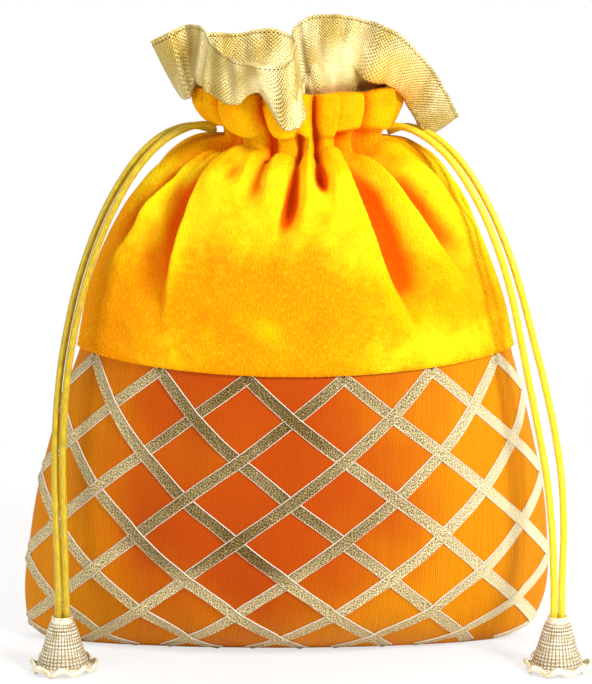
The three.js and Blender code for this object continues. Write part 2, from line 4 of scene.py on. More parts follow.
import bpy
import mathutils
import numpy as np
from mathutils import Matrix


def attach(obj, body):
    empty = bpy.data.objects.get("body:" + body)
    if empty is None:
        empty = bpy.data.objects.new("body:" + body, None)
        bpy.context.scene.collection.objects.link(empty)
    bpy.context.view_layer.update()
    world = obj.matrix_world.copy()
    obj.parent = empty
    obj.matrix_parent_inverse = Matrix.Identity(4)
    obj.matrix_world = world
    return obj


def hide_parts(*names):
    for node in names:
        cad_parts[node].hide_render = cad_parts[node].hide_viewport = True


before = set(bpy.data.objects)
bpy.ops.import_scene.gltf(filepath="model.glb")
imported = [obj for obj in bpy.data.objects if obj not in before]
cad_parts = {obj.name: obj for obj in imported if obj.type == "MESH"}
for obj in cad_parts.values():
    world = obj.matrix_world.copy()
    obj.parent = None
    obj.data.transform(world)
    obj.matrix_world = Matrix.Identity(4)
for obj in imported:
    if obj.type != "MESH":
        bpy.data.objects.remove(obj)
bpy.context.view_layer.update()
mm = 0.001


# Lower body. Two panels of orange silk with a fine upright rib, sewn to each other down the sides
# and along the bottom, so that the bag bellies out between its seams like a lens.
front, back = -1, 1
seam_gap = 0.3 * mm
silk_wall = 0.5 * mm
hem_overlap = 5 * mm
hem_girth = 10
rib_spacing = 0.93

# Each level of the skin, from the bottom seam to the collar's top: height, reach to the left and
# to the right, half thickness and how far front and back hang below the sides, all in mm, and how
# pointed the sides are, where 1 is a plain oval.
girths = np.array([
    (0, 88, 79, 0, 0, 1), (0, 96, 87, 14, 0, 1.2), (3, 101.5, 94, 21, 0, 1.3),
    (8, 104.6, 100, 28, 0, 1.4), (16, 105.6, 103.8, 35, 0, 1.45), (26, 105.4, 105.6, 40, 0, 1.45),
    (40, 103.5, 105.3, 43.5, 0.5, 1.4), (58, 100.6, 103.8, 45, 1.5, 1.4),
    (78, 95.8, 100, 44.6, 2.5, 1.35), (99, 89.5, 95, 43, 3.2, 1.3),
    (121, 81.5, 89, 41, 3.7, 1.25), (140, 77.5, 84.5, 39.5, 3.7, 1.2),
    (157, 72, 78.5, 37.5, 3.7, 1.1), (172, 64.5, 72, 35, 3.7, 1),
    (185, 55.5, 64.5, 32.5, 3.5, 1), (194, 46.5, 56.5, 29.5, 3.5, 1),
    (200, 36.5, 47.5, 26, 3.5, 1), (203.5, 26, 38.5, 22, 3.5, 1),
    (209.5, 26, 38.5, 22, 3, 1), (214, 31.5, 41, 24.5, 2, 1),
    (219, 34.5, 43, 26.5, 1, 1), (223.5, 34, 42.5, 26.5, 0, 1),
])
girths[:, :5] *= mm
girth_lengths = np.concatenate([[0], np.cumsum(np.hypot(
    np.diff(girths[:, 0] - girths[:, 4]), np.diff(girths[:, 3])))])
quarter = math.pi / 2
turns = np.linspace(-quarter, quarter, 181)


def through(table, place):
    """A smooth curve through a table's rows, read at places counted in rows."""
    place = np.clip(np.asarray(place, float), 0, len(table) - 1)
    row = np.minimum(place.astype(int), len(table) - 2)
    t = (place - row)[..., None]
    a, b, c, d = (table[np.clip(row + k, 0, len(table) - 1)] for k in (-1, 0, 1, 2))
    return b + t / 2 * (c - a + t * (2 * a - 5 * b + 4 * c - d + t * (3 * (b - c) + d - a)))


def oval(girth, side, turn):
    """Points of one level of the skin, from the left seam to the right one."""
    height, left, right, depth, dip, pointed = girth
    bulge = np.maximum(np.cos(turn), 0)
    x = (right - left) / 2 + (right + left) / 2 * np.sin(turn)
    y = side * (seam_gap / 2 + max(depth - seam_gap / 2, 0) * bulge ** pointed)
    return np.stack([x, y, np.maximum(height - dip * bulge ** 2, 0)], axis=-1)


def skin(side, shares, levels):
    """The bag's plain skin at shares across a panel, -1 to 1, and the length of each level."""
    rows, lengths = [], []
    for girth in through(girths, levels):
        fine = oval(girth, side, turns)
        run = np.concatenate([[0], np.cumsum(np.linalg.norm(np.diff(fine, axis=0), axis=1))])
        rows.append(oval(girth, side, np.interp((shares + 1) / 2 * run[-1], run, turns)))
        lengths.append(run[-1])
    return np.array(rows), np.array(lengths)


def outward(side, grid):
    """Unit normals of a grid of points, away from the bag's middle."""
    normal = np.cross(np.gradient(grid, axis=1), np.gradient(grid, axis=0)) * -side
    return normal / (np.linalg.norm(normal, axis=-1, keepdims=True) + 1e-12)


def rumple(u, v, size, seed):
    """Soft uneven rises and hollows about that size across."""
    chance = np.random.default_rng(seed)
    waves = 9
    total = 0
    for _ in range(waves):
        way = chance.uniform(0, 2 * math.pi)
        pitch = chance.uniform(0.6, 1.6) * 2 * math.pi / size
        start = chance.uniform(0, 6)
        total = total + np.sin((u * math.cos(way) + v * math.sin(way)) * pitch + start)
    return total / math.sqrt(waves)


def ramp(value, low, high):
    """0 below low, 1 above high, and a smooth step between."""
    share = np.clip((value - low) / (high - low), 0, 1)
    return share * share * (3 - 2 * share)


def mesh_piece(name, points, faces, uv=None, finish=None, **shades):
    """An object from points, faces, a UV place for each point, and attributes for its colour."""
    mesh = bpy.data.meshes.new(name)
    mesh.from_pydata(points.reshape(-1, 3).tolist(), [], faces.tolist())
    if uv is not None:
        layer = mesh.uv_layers.new(name="UVMap")
        layer.data.foreach_set("uv", uv.reshape(-1, 2)[faces.ravel()].ravel())
    for label, values in shades.items():
        mesh.attributes.new(label, "FLOAT", "POINT").data.foreach_set("value", values.ravel())
    mesh.shade_smooth()
    if finish:
        mesh.materials.append(finish)
    piece = bpy.data.objects.new(name, mesh)
    bpy.context.scene.collection.objects.link(piece)
    return piece


def grid_faces(rows, columns, start=0, around=False):
    """The quads of a grid of points, closed round its columns where it goes around."""
    steps = columns if around else columns - 1
    i, j = np.meshgrid(np.arange(rows - 1), np.arange(steps), indexing="ij")
    a, b = i * columns + j, i * columns + (j + 1) % columns
    return start + np.stack([a, b, b + columns, a + columns], axis=-1).reshape(-1, 4)


def cloth(name, side, grid, uv, finish, wall, offset=-1, **shades):
    """A sheet of cloth from a grid of points, with its wall inside them."""
    faces = grid_faces(*grid.shape[:2])
    piece = mesh_piece(name, grid, faces if side == front else faces[:, ::-1], uv, finish, **shades)
    walls = piece.modifiers.new("wall", "SOLIDIFY")
    walls.thickness = wall
    walls.offset = offset
    return piece


class Wire:
    """A number carried by a shader node, with arithmetic that adds Math nodes."""

    def __init__(self, finish, socket):
        self.finish = finish
        self.socket = socket

    def math(self, operation, *others, turned=False):
        """This number and others through a Math node, in this order or turned round."""
        values = [self, *others]
        node = self.finish.node("ShaderNodeMath", {"operation": operation},
                                dict(enumerate(values[::-1] if turned else values)))
        return Wire(self.finish, node.outputs[0])

    def __add__(self, other):
        return self.math("ADD", other)

    def __sub__(self, other):
        return self.math("SUBTRACT", other)

    def __rsub__(self, other):
        return self.math("SUBTRACT", other, turned=True)

    def __mul__(self, other):
        return self.math("MULTIPLY", other)

    __radd__ = __add__
    __rmul__ = __mul__

    def step(self, low, high):
        """0 below low and 1 above high, with a smooth step between."""
        node = self.finish.node("ShaderNodeMapRange", {"interpolation_type": "SMOOTHSTEP"},
                                {"Value": self, "From Min": low, "From Max": high})
        return Wire(self.finish, node.outputs[0])


class Finish:
    """A new material, or the world, and its nodes."""

    def __init__(self, name, kind=bpy.data.materials):
        self.block = kind.new(name)
        self.block.use_nodes = True
        self.tree = self.block.node_tree
        self.tree.nodes.clear()

    def node(self, kind, settings=None, values=None):
        """A node of a type, with its settings and the values or wires of its sockets."""
        made = self.tree.nodes.new(kind)
        for key, value in (settings or {}).items():
            setattr(made, key, value)
        for key, value in (values or {}).items():
            if isinstance(value, Wire):
                self.tree.links.new(value.socket, made.inputs[key])
            else:
                made.inputs[key].default_value = value
        return made

    def places(self, kind="UV"):
        """x, y and z of the UV map or of the object's own coordinates, and the vector."""
        vector = Wire(self, self.node("ShaderNodeTexCoord").outputs[kind])
        parts = self.node("ShaderNodeSeparateXYZ", None, {0: vector})
        return (*(Wire(self, out) for out in parts.outputs), vector)

    def shade(self, label):
        """A number stored on the piece's points."""
        return Wire(self, self.node("ShaderNodeAttribute", {"attribute_name": label}).outputs["Fac"])

    def stretched(self, vector, x, y):
        """A vector with its x and y scaled."""
        node = self.node("ShaderNodeVectorMath", {"operation": "MULTIPLY"}, {0: vector, 1: (x, y, 1.0)})
        return Wire(self, node.outputs[0])

    def noise(self, vector, scale, detail=2.0, rough=0.5):
        """Cloudy noise from 0 to 1."""
        node = self.node("ShaderNodeTexNoise", None,
                         {"Vector": vector, "Scale": scale, "Detail": detail, "Roughness": rough})
        return Wire(self, node.outputs["Fac"])

    def blend(self, factor, a, b):
        """A colour between two others."""
        node = self.node("ShaderNodeMix", {"data_type": "RGBA"}, {0: factor, 6: a, 7: b})
        return Wire(self, node.outputs[2])

    def bump(self, height, distance, strength):
        """The surface's normal, tilted by a height."""
        node = self.node("ShaderNodeBump", None,
                         {"Height": height, "Distance": distance, "Strength": strength})
        return Wire(self, node.outputs[0])

    def surface(self, **values):
        """The finished surface, with the values of its sockets by name."""
        shader = self.node("ShaderNodeBsdfPrincipled", None,
                           {key.replace("_", " "): value for key, value in values.items()})
        self.node("ShaderNodeOutputMaterial", None, {0: Wire(self, shader.outputs[0])})
        return self.block


ribbed_silk = Finish("ribbed_silk")
across, _, _, cloth_place = ribbed_silk.places()
x, _, z, place = ribbed_silk.places("Object")
rib = (across * (2 * math.pi / rib_spacing)).math("SINE") * 0.5 + 0.5
streak = ribbed_silk.noise(ribbed_silk.stretched(cloth_place, 1.6, 0.02), 1.0, 3.0)
cloud = ribbed_silk.noise(place, 22.0, 2.0)
# Painted sheen: the silk is coloured lighter to the right, at both sides and near the bottom, where the
# light falls on it, with cloudy tone at random.
painted_sheen = (x * 3.6 + x * x * 150.0 + z.step(0.045, 0.0) * 0.6 + (cloud - 0.5) * 1.1 + 0.05).step(0.0, 1.1)
silk_colour = ribbed_silk.blend(painted_sheen, (0.44, 0.056, 0.0, 1), (0.73, 0.275, 0.0, 1))
silk_colour = ribbed_silk.blend(rib * 0.42 + (streak - 0.4) * 0.6, silk_colour, (0.36, 0.05, 0.0, 1))
silk_finish = ribbed_silk.surface(
    Base_Color=silk_colour, Roughness=0.5, Specular_IOR_Level=0.07,
    Normal=ribbed_silk.bump(rib + streak * 0.6, 0.00012, 0.7))

rim_length = girth_lengths[1]
hem_length = girth_lengths[hem_girth]
silk_length = hem_length + hem_overlap
silk_shares = np.linspace(-1, 1, 181)
silk_heights = np.linspace(0, silk_length, 121)
silk_levels = np.interp(silk_heights, girth_lengths, np.arange(len(girths)))
silk_skin = {}
for name, side in (("front", front), ("back", back)):
    grid, widths = skin(side, silk_shares, silk_levels)
    sideways = silk_shares * widths[:, None] / 2
    uv = np.stack(np.broadcast_arrays(sideways, silk_heights[:, None]), axis=-1) / mm
    free = ramp(silk_heights, 12 * mm, 40 * mm)[:, None] * (1 - silk_shares ** 6)
    free = free * (1 - ramp(silk_heights, hem_length - 14 * mm, hem_length - 3 * mm)[:, None])
    swell = rumple(uv[..., 0], uv[..., 1], 46, 5 + side) * 0.5 * mm * free
    grid = grid + outward(side, grid) * swell[..., None]
    silk_skin[side] = grid
    panel = cloth(f"silk_{name}_panel", side, grid, uv, silk_finish, silk_wall)
    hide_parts(f"lower_{name}_panel")
    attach(panel, "root")


# Lattice. Narrow gold lace tape with pale corded selvedges, laid corner to corner over the silk
# and passed over and under itself, then caught in the seams and under the velvet's hem.
lattice_columns, lattice_rows = 12, 8
lattice_drop = 1.2 * mm
tape_width = 4.8 * mm
tape_thick = 0.32 * mm
selvedge_thick = 0.16 * mm
tape_seat = 0.15 * mm
crossing_rise = 0.42 * mm
crossing_reach = 3.4 * mm
tape_stray = 0.12 * mm
tape_stray_length = 9 * mm
lattice_spread = 0.036
tape_step = 1.6 * mm
# How far, in cells, a tape stops above the bottom seam and short of a side seam
bottom_stop, seam_stop = 0.34, 0.05
widest_girth = 7
lattice_step = (hem_length - lattice_drop - rim_length) / lattice_rows
widest = skin(front, silk_shares, [widest_girth])[1][0]
cell_width = widest / lattice_columns
# Crossings at which the tape that rises to the right lies on top, as column and row
rising_on_top = {(8, 7), (10, 7), (5, 6), (7, 6), (1, 6), (4, 5), (6, 5), (2, 5), (5, 4), (7, 4),
                 (8, 3), (10, 3), (2, 3), (9, 2), (3, 2), (11, 2), (1, 2), (8, 1), (10, 1), (2, 1)}


def on_silk(side, share, length, lift):
    """Points on the silk at a share and a cloth length, lifted off it."""
    grid = silk_skin[side]
    normals = outward(side, grid)
    row = np.clip(length / silk_length, 0, 1) * (grid.shape[0] - 1)
    column = (np.clip(share, -1, 1) + 1) / 2 * (grid.shape[1] - 1)
    i = np.minimum(row.astype(int), grid.shape[0] - 2)
    j = np.minimum(column.astype(int), grid.shape[1] - 2)
    s, t = (row - i)[..., None], (column - j)[..., None]

    def read(values):
        lower = values[i, j] * (1 - t) + values[i, j + 1] * t
        upper = values[i + 1, j] * (1 - t) + values[i + 1, j + 1] * t
        return lower * (1 - s) + upper * s

    return read(grid) + read(normals) * lift[..., None]


def tape_lines(lean):
    """The start and end of each tape of one direction, as column and row of the lattice."""
    for start in range(-lattice_rows - 1, lattice_columns + lattice_rows + 2, 2):
        rows = [k for k in range(lattice_rows + 1) if 0 <= start + lean * k <= lattice_columns]
        if len(rows) > 1:
            yield (start + lean * rows[0], rows[0]), (start + lean * rows[-1], rows[-1])


# The tape's section: places across its half width, and up from its underside
section_across = np.array([-1, -0.9, -0.8, -0.5, 0, 0.5, 0.8, 0.9, 1, 1, -1])
section_up = np.array([0.3, 1, 0.55, 0.5, 0.55, 0.5, 0.55, 1, 0.3, 0, 0])


def lattice_tape(side, lean, start, end):
    """Points and UV places of one run of tape."""
    (i0, k0), (i1, k1) = start, end
    way = np.array([(i1 - i0) * cell_width, (k1 - k0) * lattice_step])
    length = np.linalg.norm(way)
    cell = length / (k1 - k0)
    head = cell * (bottom_stop if k0 == 0 else seam_stop)
    tail = length - (cell * seam_stop if k1 < lattice_rows else 0)
    along = np.linspace(head, tail, int((tail - head) / tape_step) + 2)
    column = i0 + (i1 - i0) * along / length
    row = k0 + (k1 - k0) * along / length
    lift = np.zeros(len(along))
    for n in range(k1 - k0 + 1):
        crossing = (i0 + lean * n, k0 + n)
        on_top = (crossing in rising_on_top) == (lean > 0)
        under_hem = crossing[1] == lattice_rows
        if on_top and not under_hem:
            lift += crossing_rise * np.exp(-((row - crossing[1]) * cell / crossing_reach) ** 4)
    uneven = tape_stray * np.sin(along / tape_stray_length + i0)
    square = np.array([-way[1], way[0]]) / length
    wide = section_across * (tape_width / 2)
    column = column[:, None] + (wide * square[0] + uneven[:, None]) / cell_width
    share = column / (lattice_columns / 2) - 1
    share = share + lattice_spread * ramp(row, 1, 6)[:, None] * np.sin(share * math.pi)
    height = rim_length + row[:, None] * lattice_step + wide * square[1]
    raised = tape_seat + lift[:, None] + section_up * (tape_thick + selvedge_thick)
    edge = 0.997
    points = on_silk(side, np.clip(share, -edge, edge), height, raised)
    points[..., 2] = np.maximum(points[..., 2], 0)
    uv = np.stack(np.broadcast_arrays(section_across * tape_width / 2, along[:, None]), axis=-1) / mm
    return points, uv


lace_tape = Finish("gold_lace_tape")
across, up, _, tape_place = lace_tape.places()
x, _, z, place = lace_tape.places("Object")
knit = lace_tape.noise(lace_tape.stretched(tape_place, 2.1, 1.3), 1.0, 2.0, 0.6)
fleck = lace_tape.noise(lace_tape.stretched(tape_place, 1.3, 3.4), 1.0, 1.0, 0.5)
twill = (up * 4.4 + across * 2.4 + knit * 14.0).math("SINE") * 0.5 + 0.5
thread = fleck.step(0.4, 0.6) * 0.75 + twill * 0.25
# Painted light: the tape is a mix of a dark copy for its shaded parts and a light gold copy where the light
# falls, more of it to the right, at both sides and near the bottom, with cloudy tone at random.
low = z.step(0.05, 0.02)
glare = (x * 5.0 + x * x * 155.0 + low * 0.85 + lace_tape.noise(place, 26.0) * 1.1).step(0.35, 1.45)
tape_in_shade = lace_tape.blend((knit * 0.5 + thread * 0.5).step(0.3, 0.85),
                       (0.035, 0.018, 0.003, 1), (0.33, 0.215, 0.055, 1))
tape_in_light = lace_tape.blend((knit * 0.4 + thread * 0.6).step(0.3, 0.72),
                         (0.2, 0.13, 0.035, 1), (0.88, 0.75, 0.4, 1))
# Painted highlight: the tape is coloured lighter still at the far right.
tape_in_light = lace_tape.blend(x.step(0.055, 0.1) * 0.6, tape_in_light, (0.97, 0.87, 0.55, 1))
selvedge = across.math("ABSOLUTE").step(2.04, 2.16)
tape_colour = lace_tape.blend(selvedge, lace_tape.blend(glare, tape_in_shade, tape_in_light), (0.8, 0.68, 0.54, 1))
lace_finish = lace_tape.surface(
    Base_Color=tape_colour, Metallic=(1 - selvedge) * (0.75 - glare * 0.45), Roughness=0.36,
    Normal=lace_tape.bump(knit + thread * 0.8, 0.00025, 0.8))

for name, side in (("front", front), ("back", back)):
    points, places, faces, nodes = [], [], [], []
    count = 0
    for family, lean in (("rising", 1), ("falling", -1)):
        for n, (start, end) in enumerate(tape_lines(lean)):
            run, uv = lattice_tape(side, lean, start, end)
            rows, columns = run.shape[:2]
            quads = grid_faces(rows, columns, count, around=True)
            ends = [np.arange(columns) + count, np.arange(columns)[::-1] + count + (rows - 1) * columns]
            fans = [np.array([ring[0], ring[k], ring[k + 1], ring[k + 2]])
                    for ring in ends for k in range(1, columns - 2, 2)]
            faces.append(np.concatenate([quads, fans]))
            points.append(run.reshape(-1, 3))
            places.append(uv.reshape(-1, 2))
            nodes.append(f"{name}_{family}_tape_{n + 1}")
            count += rows * columns
    faces = np.concatenate(faces)
    lattice = mesh_piece(f"{name}_lace_lattice", np.concatenate(points),
                         faces[:, ::-1] if side == front else faces, np.concatenate(places), lace_finish)
    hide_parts(*nodes)
    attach(lattice, "root")


# Velvet. Two panels of short-pile golden velvet sewn over the silk's edge. They are gathered on
# the drawcords at the throat, flare again as a collar, and are turned in there as the casing.
velvet_wall = 1.0 * mm
hem_lift = 0.75 * mm
shoulder_height, throat_height = 185 * mm, 203.5 * mm
throat_girth = 17
collar_top = len(girths) - 1
shortest_fold = 14 * mm
deepest_throat_fold = 5 * mm
gather_depth = 1.4 * mm
shoulder_puff = 3.2 * mm
collar_puff, lobe_puff = 0.6 * mm, 2.4 * mm
cut_edge_round = 0.45 * mm
slit_share = 0.11
cord_thick = 2.8 * mm
# The cords press a little into the folded velvet, and the turned-in top has this room past them.
cord_inset = deepest_throat_fold + cord_thick / 2 - 0.3 * mm
casing_room, casing_wall = 0.8 * mm, 1.1 * mm
turn_in_depth = 3.4 * mm
turn_in_puckers = 0.35
turn_in_top, turn_in_foot, turn_in_rows = 219 * mm, 201.5 * mm, 14
crown_rise, crown_rows = 2.4 * mm, 7
body_rows, collar_rows = 78, 46

# Folds: place at the neck and at the foot, height of the foot, half width, how crisp one edge is,
# and depth at the shoulder, throat and collar.
front_folds = [
    (-0.79, -0.9, 150, 0.1, -0.6, 7, 4, 3), (-0.6, -0.56, 126, 0.17, -0.75, 10.5, 5, 5),
    (-0.27, -0.22, 180, 0.08, 0, 5, 5, 5), (-0.01, -0.07, 170, 0.07, 0.2, 9, 4.5, 0.8),
    (0.13, 0.15, 184, 0.06, 0, 5, 5, 5), (0.3, 0.54, 122, 0.14, 0.8, 12, 5, 1),
    (0.52, 0.82, 142, 0.12, 0.65, 8, 5, 5), (0.82, 0.94, 168, 0.09, 0.4, 6, 4, 3),
]
# Pinches in the front's throat: place and height, then how wide and high each is, how deep it
# presses in and how high its rim stands.
pinches = [(-0.4, 196), (0.13, 196)]
pinch_width, pinch_height = 0.055, 4.5
pinch_depth, pinch_rim = 3.6 * mm, 1.3 * mm
back_folds = [
    (-0.74, -0.8, 150, 0.13, 0.2, 6, 4.5, 3), (-0.46, -0.42, 128, 0.16, -0.4, 10, 5, 2),
    (-0.16, -0.12, 160, 0.12, 0, 7, 5, 4), (0.12, 0.16, 138, 0.13, 0.3, 9, 5, 1),
    (0.42, 0.46, 126, 0.16, 0.4, 11, 5, 3.5), (0.74, 0.8, 152, 0.13, 0, 6, 4.5, 2),
]


def fold_depth(folds, shares, levels, heights):
    """How deep the folds press in, over a grid of shares, levels and heights."""
    total = np.zeros(shares.shape)
    for neck, foot, reach, half, crisp, shoulder, throat, collar in folds:
        reach = reach * mm
        climb = np.clip((heights - reach) / (throat_height - reach), 0, 1)
        off = (shares - (foot + (neck - foot) * climb)) / half
        off = np.abs(off) / np.where(off > 0, 1 + crisp, 1 - crisp)
        gather = ramp(heights, shoulder_height, throat_height)
        spread = ramp(levels, throat_girth + 1, throat_girth + 2)
        rise = ramp(heights, reach, max(shoulder_height, reach + shortest_fold))
        deep = shoulder * rise * (1 - gather) + throat * gather * (1 - spread)
        bowl = np.cos(np.minimum(off, 1) * quarter) ** 1.7
        crease = np.maximum(1 - off / 0.8, 0) ** 1.5
        total += deep * mm * bowl + collar * spread * mm * crease
    for place, height in pinches if folds is front_folds else []:
        off = np.hypot((shares - place) / pinch_width, (heights / mm - height) / pinch_height)
        total += pinch_depth * np.exp(-off ** 2) - pinch_rim * np.exp(-((off - 2) / 0.8) ** 2)
    limit = np.where(levels >= throat_girth - 0.5, deepest_throat_fold, 1)
    return np.minimum(total, limit)


def gathers(shares, heights):
    """The small pleats between the folds, which die away below the throat."""
    near = ramp(heights, 166 * mm, 200 * mm) * (1 - ramp(heights, 206 * mm, 215 * mm) * 0.6)
    wave = np.sin(shares * 27 + 1.3 * np.sin(shares * 9)) * (0.6 + 0.4 * np.sin(shares * 15 + 0.7))
    return gather_depth * near * np.sign(wave) * np.abs(wave) ** 0.8


def collar_lobes(folds, shares):
    """How far the collar swells at each share between its creases, 0 to 1."""
    creases = [-1.0, *sorted(fold[0] for fold in folds if fold[7] >= 2), 1.0]
    inside = [np.clip((shares - a) / (b - a), 0, 1) for a, b in zip(creases, creases[1:])]
    return np.max([np.sin(part * math.pi) ** 0.6 for part in inside], axis=0)


def smoothed(grid, reach):
    """The mean of a grid over a square window, taken twice."""
    window = 2 * reach + 1
    for axis in (0, 1, 0, 1):
        count = grid.shape[axis]
        wide = np.take(grid, np.clip(np.arange(-reach, count + reach), 0, count - 1), axis)
        total = np.cumsum(np.concatenate([np.take(wide, [0], axis) * 0, wide], axis), axis)
        span = np.arange(count)
        grid = (np.take(total, span + window, axis) - np.take(total, span, axis)) / window
    return grid


def crown_height(lobe):
    """How high the collar's top fold rises over its edge, less in the creases."""
    return crown_rise * (0.1 + 0.9 * lobe)


def turned_in(side, folds, shares, heights, inset):
    """Points of the turned-in top, which comes down inside the collar past the cords."""
    level = np.interp(heights, girths[hem_girth:, 0], np.arange(hem_girth, len(girths)))
    girth = through(girths, level)
    tight = girths[throat_girth, 1:4] - (cord_inset + cord_thick / 2 + casing_room + casing_wall + inset)
    wide = girth[:, 1:4] - (casing_wall + turn_in_depth + inset)
    up = ramp(heights, girths[throat_girth + 1, 0], girths[collar_top, 0])[:, None]
    left, right, depth = (tight * (1 - up) + wide * up).T
    turn = shares[None, :] * quarter
    level_grid, height_grid = (np.repeat(v[:, None], len(shares), 1) for v in (level, heights))
    puckers = turn_in_puckers * fold_depth(folds, np.repeat(shares[None, :], len(heights), 0),
                                           np.maximum(level_grid, throat_girth + 1), height_grid)
    x = (right - left)[:, None] / 2 + (right + left)[:, None] / 2 * np.sin(turn)
    y = side * (seam_gap / 2 + (depth - seam_gap / 2)[:, None] * np.cos(turn))
    inwards = np.stack([x - (right - left)[:, None] / 2, y], axis=-1)
    inwards /= np.linalg.norm(inwards, axis=-1, keepdims=True)
    flat = np.stack([x, y], axis=-1) - inwards * puckers[..., None]
    return np.concatenate([flat, height_grid[..., None]], axis=-1)


def velvet_grid(side, folds, columns):
    """The velvet's face from its hem over the collar and down inside it.

    Returns its points, UV places, how deep in painted shade and how raised each is, and the crown's row.
    """
    levels = np.concatenate([np.linspace(hem_girth, throat_girth - 1, body_rows)[:-1],
                             np.linspace(throat_girth - 1, collar_top, collar_rows)])
    shares = np.linspace(-1, 1, columns)
    plain, widths = skin(side, shares, levels)
    grow = levels[:, None] * np.ones(columns)
    heights = np.interp(levels, np.arange(len(girths)), girths[:, 0])[:, None] * np.ones(columns)
    across = np.repeat(shares[None, :], len(levels), 0)
    lengths = np.interp(levels, np.arange(len(girths)), girth_lengths)
    depth = fold_depth(folds, across, grow, heights)
    puff = shoulder_puff * ramp(heights, 150 * mm, 194 * mm) * (1 - ramp(heights, 200 * mm, 204 * mm))
    lobe = collar_lobes(folds, shares)
    puff = puff + (collar_puff + lobe_puff * lobe) * ramp(grow, throat_girth + 0.9, throat_girth + 1.7)
    puff = puff * (1 - np.abs(across) ** 5)
    u, v = across * widths[:, None] / 2 / mm, lengths[:, None] / mm
    hand = rumple(u, v, 34, 11 + side) * 0.9 * mm + rumple(u, v, 13, 21 + side) * 0.22 * mm
    hand = hand * ramp(heights, girths[hem_girth, 0], girths[hem_girth, 0] + 16 * mm) * (1 - across ** 8)
    clear = hem_lift + velvet_wall
    out = clear + puff + hand + gathers(across, heights) * (1 - across ** 8) - depth
    out = np.where(grow >= throat_girth - 0.6, np.maximum(out, clear - deepest_throat_fold), out)
    edge = ramp(levels, hem_girth, hem_girth + 0.35)[:, None]
    out = out - cut_edge_round * (1 - edge)
    face = plain + outward(side, plain) * out[..., None]
    open_slit = ((grow > throat_girth - 0.1) & (grow < throat_girth + 1.1)) * slit_share
    shift = (1 - open_slit * np.abs(across) ** 6)
    middle = (girths[throat_girth, 2] - girths[throat_girth, 1]) / 2
    face[..., 0] = middle + (face[..., 0] - middle) * shift
    face[..., 1] = side * np.maximum(side * face[..., 1], seam_gap / 2 + 0.05 * mm)
    falling = np.linspace(turn_in_top, turn_in_foot, turn_in_rows)
    inner = turned_in(side, folds, shares, falling, 0.2 * mm)
    arc = np.linspace(0, math.pi, crown_rows + 2)[1:-1]
    out_edge, in_edge = face[-1], inner[0]
    rise = np.stack([lobe * 0, lobe * 0, crown_height(lobe)], axis=-1)
    top = [(out_edge + in_edge) / 2 + (out_edge - in_edge) / 2 * math.cos(a) + rise * math.sin(a)
           for a in arc]
    crown = len(face) + crown_rows // 2
    face = np.concatenate([face, top, inner])
    run = np.concatenate([[0], np.cumsum(np.linalg.norm(np.diff(face, axis=0), axis=2).mean(axis=1))])
    u = np.concatenate([u, np.repeat(u[-1:], len(face) - len(u), 0)])
    uv = np.stack([u, run[:, None] / mm * np.ones(columns)], axis=-1)
    # These set the velvet's painted shade and highlight: it is coloured darker in the fold hollows, over
    # the crown and inside the turned-in top, and lighter where it stands raised.
    relief = out - smoothed(out, 9)
    relief = np.concatenate([relief, np.repeat(relief[-1:] - 1 * mm, len(face) - len(relief), 0)])
    hollow = np.concatenate([depth, np.repeat(depth[-1:] + 2 * mm, len(face) - len(depth), 0)])
    return face, uv, hollow * 0.45 - relief * 1.3, relief, crown


velvet = Finish("golden_velvet")
*_, pile_place = velvet.places()
x, _, z, place = velvet.places("Object")
hollow = velvet.shade("hollow")
cloud = velvet.noise(place, 17.0, 3.0, 0.55)
pile = velvet.noise(velvet.stretched(pile_place, 1.5, 0.55), 1.0, 3.0, 0.65)
speck = velvet.noise(pile_place, 1.7, 1.0, 0.4)
mottle = velvet.noise(place, 130.0, 4.0, 0.65)
# Painted light: the velvet is coloured yellower to the right and higher up, where the light falls, with
# cloudy tone at random.
painted_light_gradient = (x * 3.0 + (z - 0.16) * 3.0 + (cloud - 0.5) * 3.6 + (mottle - 0.5) * 1.6 + 0.33).step(0.0, 1.0)
# Painted highlight: the nap is coloured yellow on the upper front and low at the sides, where it turns to
# the light.
high = z.step(0.146, 0.176) * z.step(0.203, 0.19) * x.step(-0.09, -0.03)
low_sides = (x.step(0.015, 0.05) * 0.8 + x.step(-0.03, -0.06) * 0.5) * z.step(0.142, 0.125)
lit = (high + low_sides).math("MINIMUM", 1.0) * 1.1
lit = (lit + (cloud - 0.5) * 2.6 + (mottle - 0.5) * 1.6 - 0.16).step(0.0, 1.1)
velvet_colour = velvet.blend(painted_light_gradient, (0.93, 0.29, 0.0, 1), (0.96, 0.42, 0.0, 1))
# Painted highlight: where the velvet stands raised above its surroundings it is coloured a lighter yellow.
ridge_highlight = velvet.shade("relief").step(0.0, 0.0022)
velvet_colour = velvet.blend(ridge_highlight * 0.6, velvet_colour, (1.0, 0.6, 0.0, 1))
velvet_colour = velvet.blend(lit * 0.78, velvet_colour, (1.0, 0.8, 0.008, 1))
velvet_colour = velvet.blend(pile.step(0.46, 0.7) * 0.45, velvet_colour, (1.0, 0.64, 0.01, 1))
# Painted shade: the fold hollows, the crown and the turned-in top are coloured deep orange-red.
velvet_colour = velvet.blend(hollow.step(0.0006, 0.0068), velvet_colour, (0.84, 0.11, 0.0, 1))
velvet_colour = velvet.blend(speck.step(0.62, 0.72) * 0.5, velvet_colour, (0.7, 0.19, 0.0, 1))
velvet_finish = velvet.surface(
    Base_Color=velvet_colour, Roughness=0.95, Specular_IOR_Level=0.05, Sheen_Weight=0.3,
    Sheen_Roughness=0.4, Sheen_Tint=(1.0, 0.55, 0.03, 1),
    Normal=velvet.bump(pile + speck * 0.6, 0.0009, 0.9))

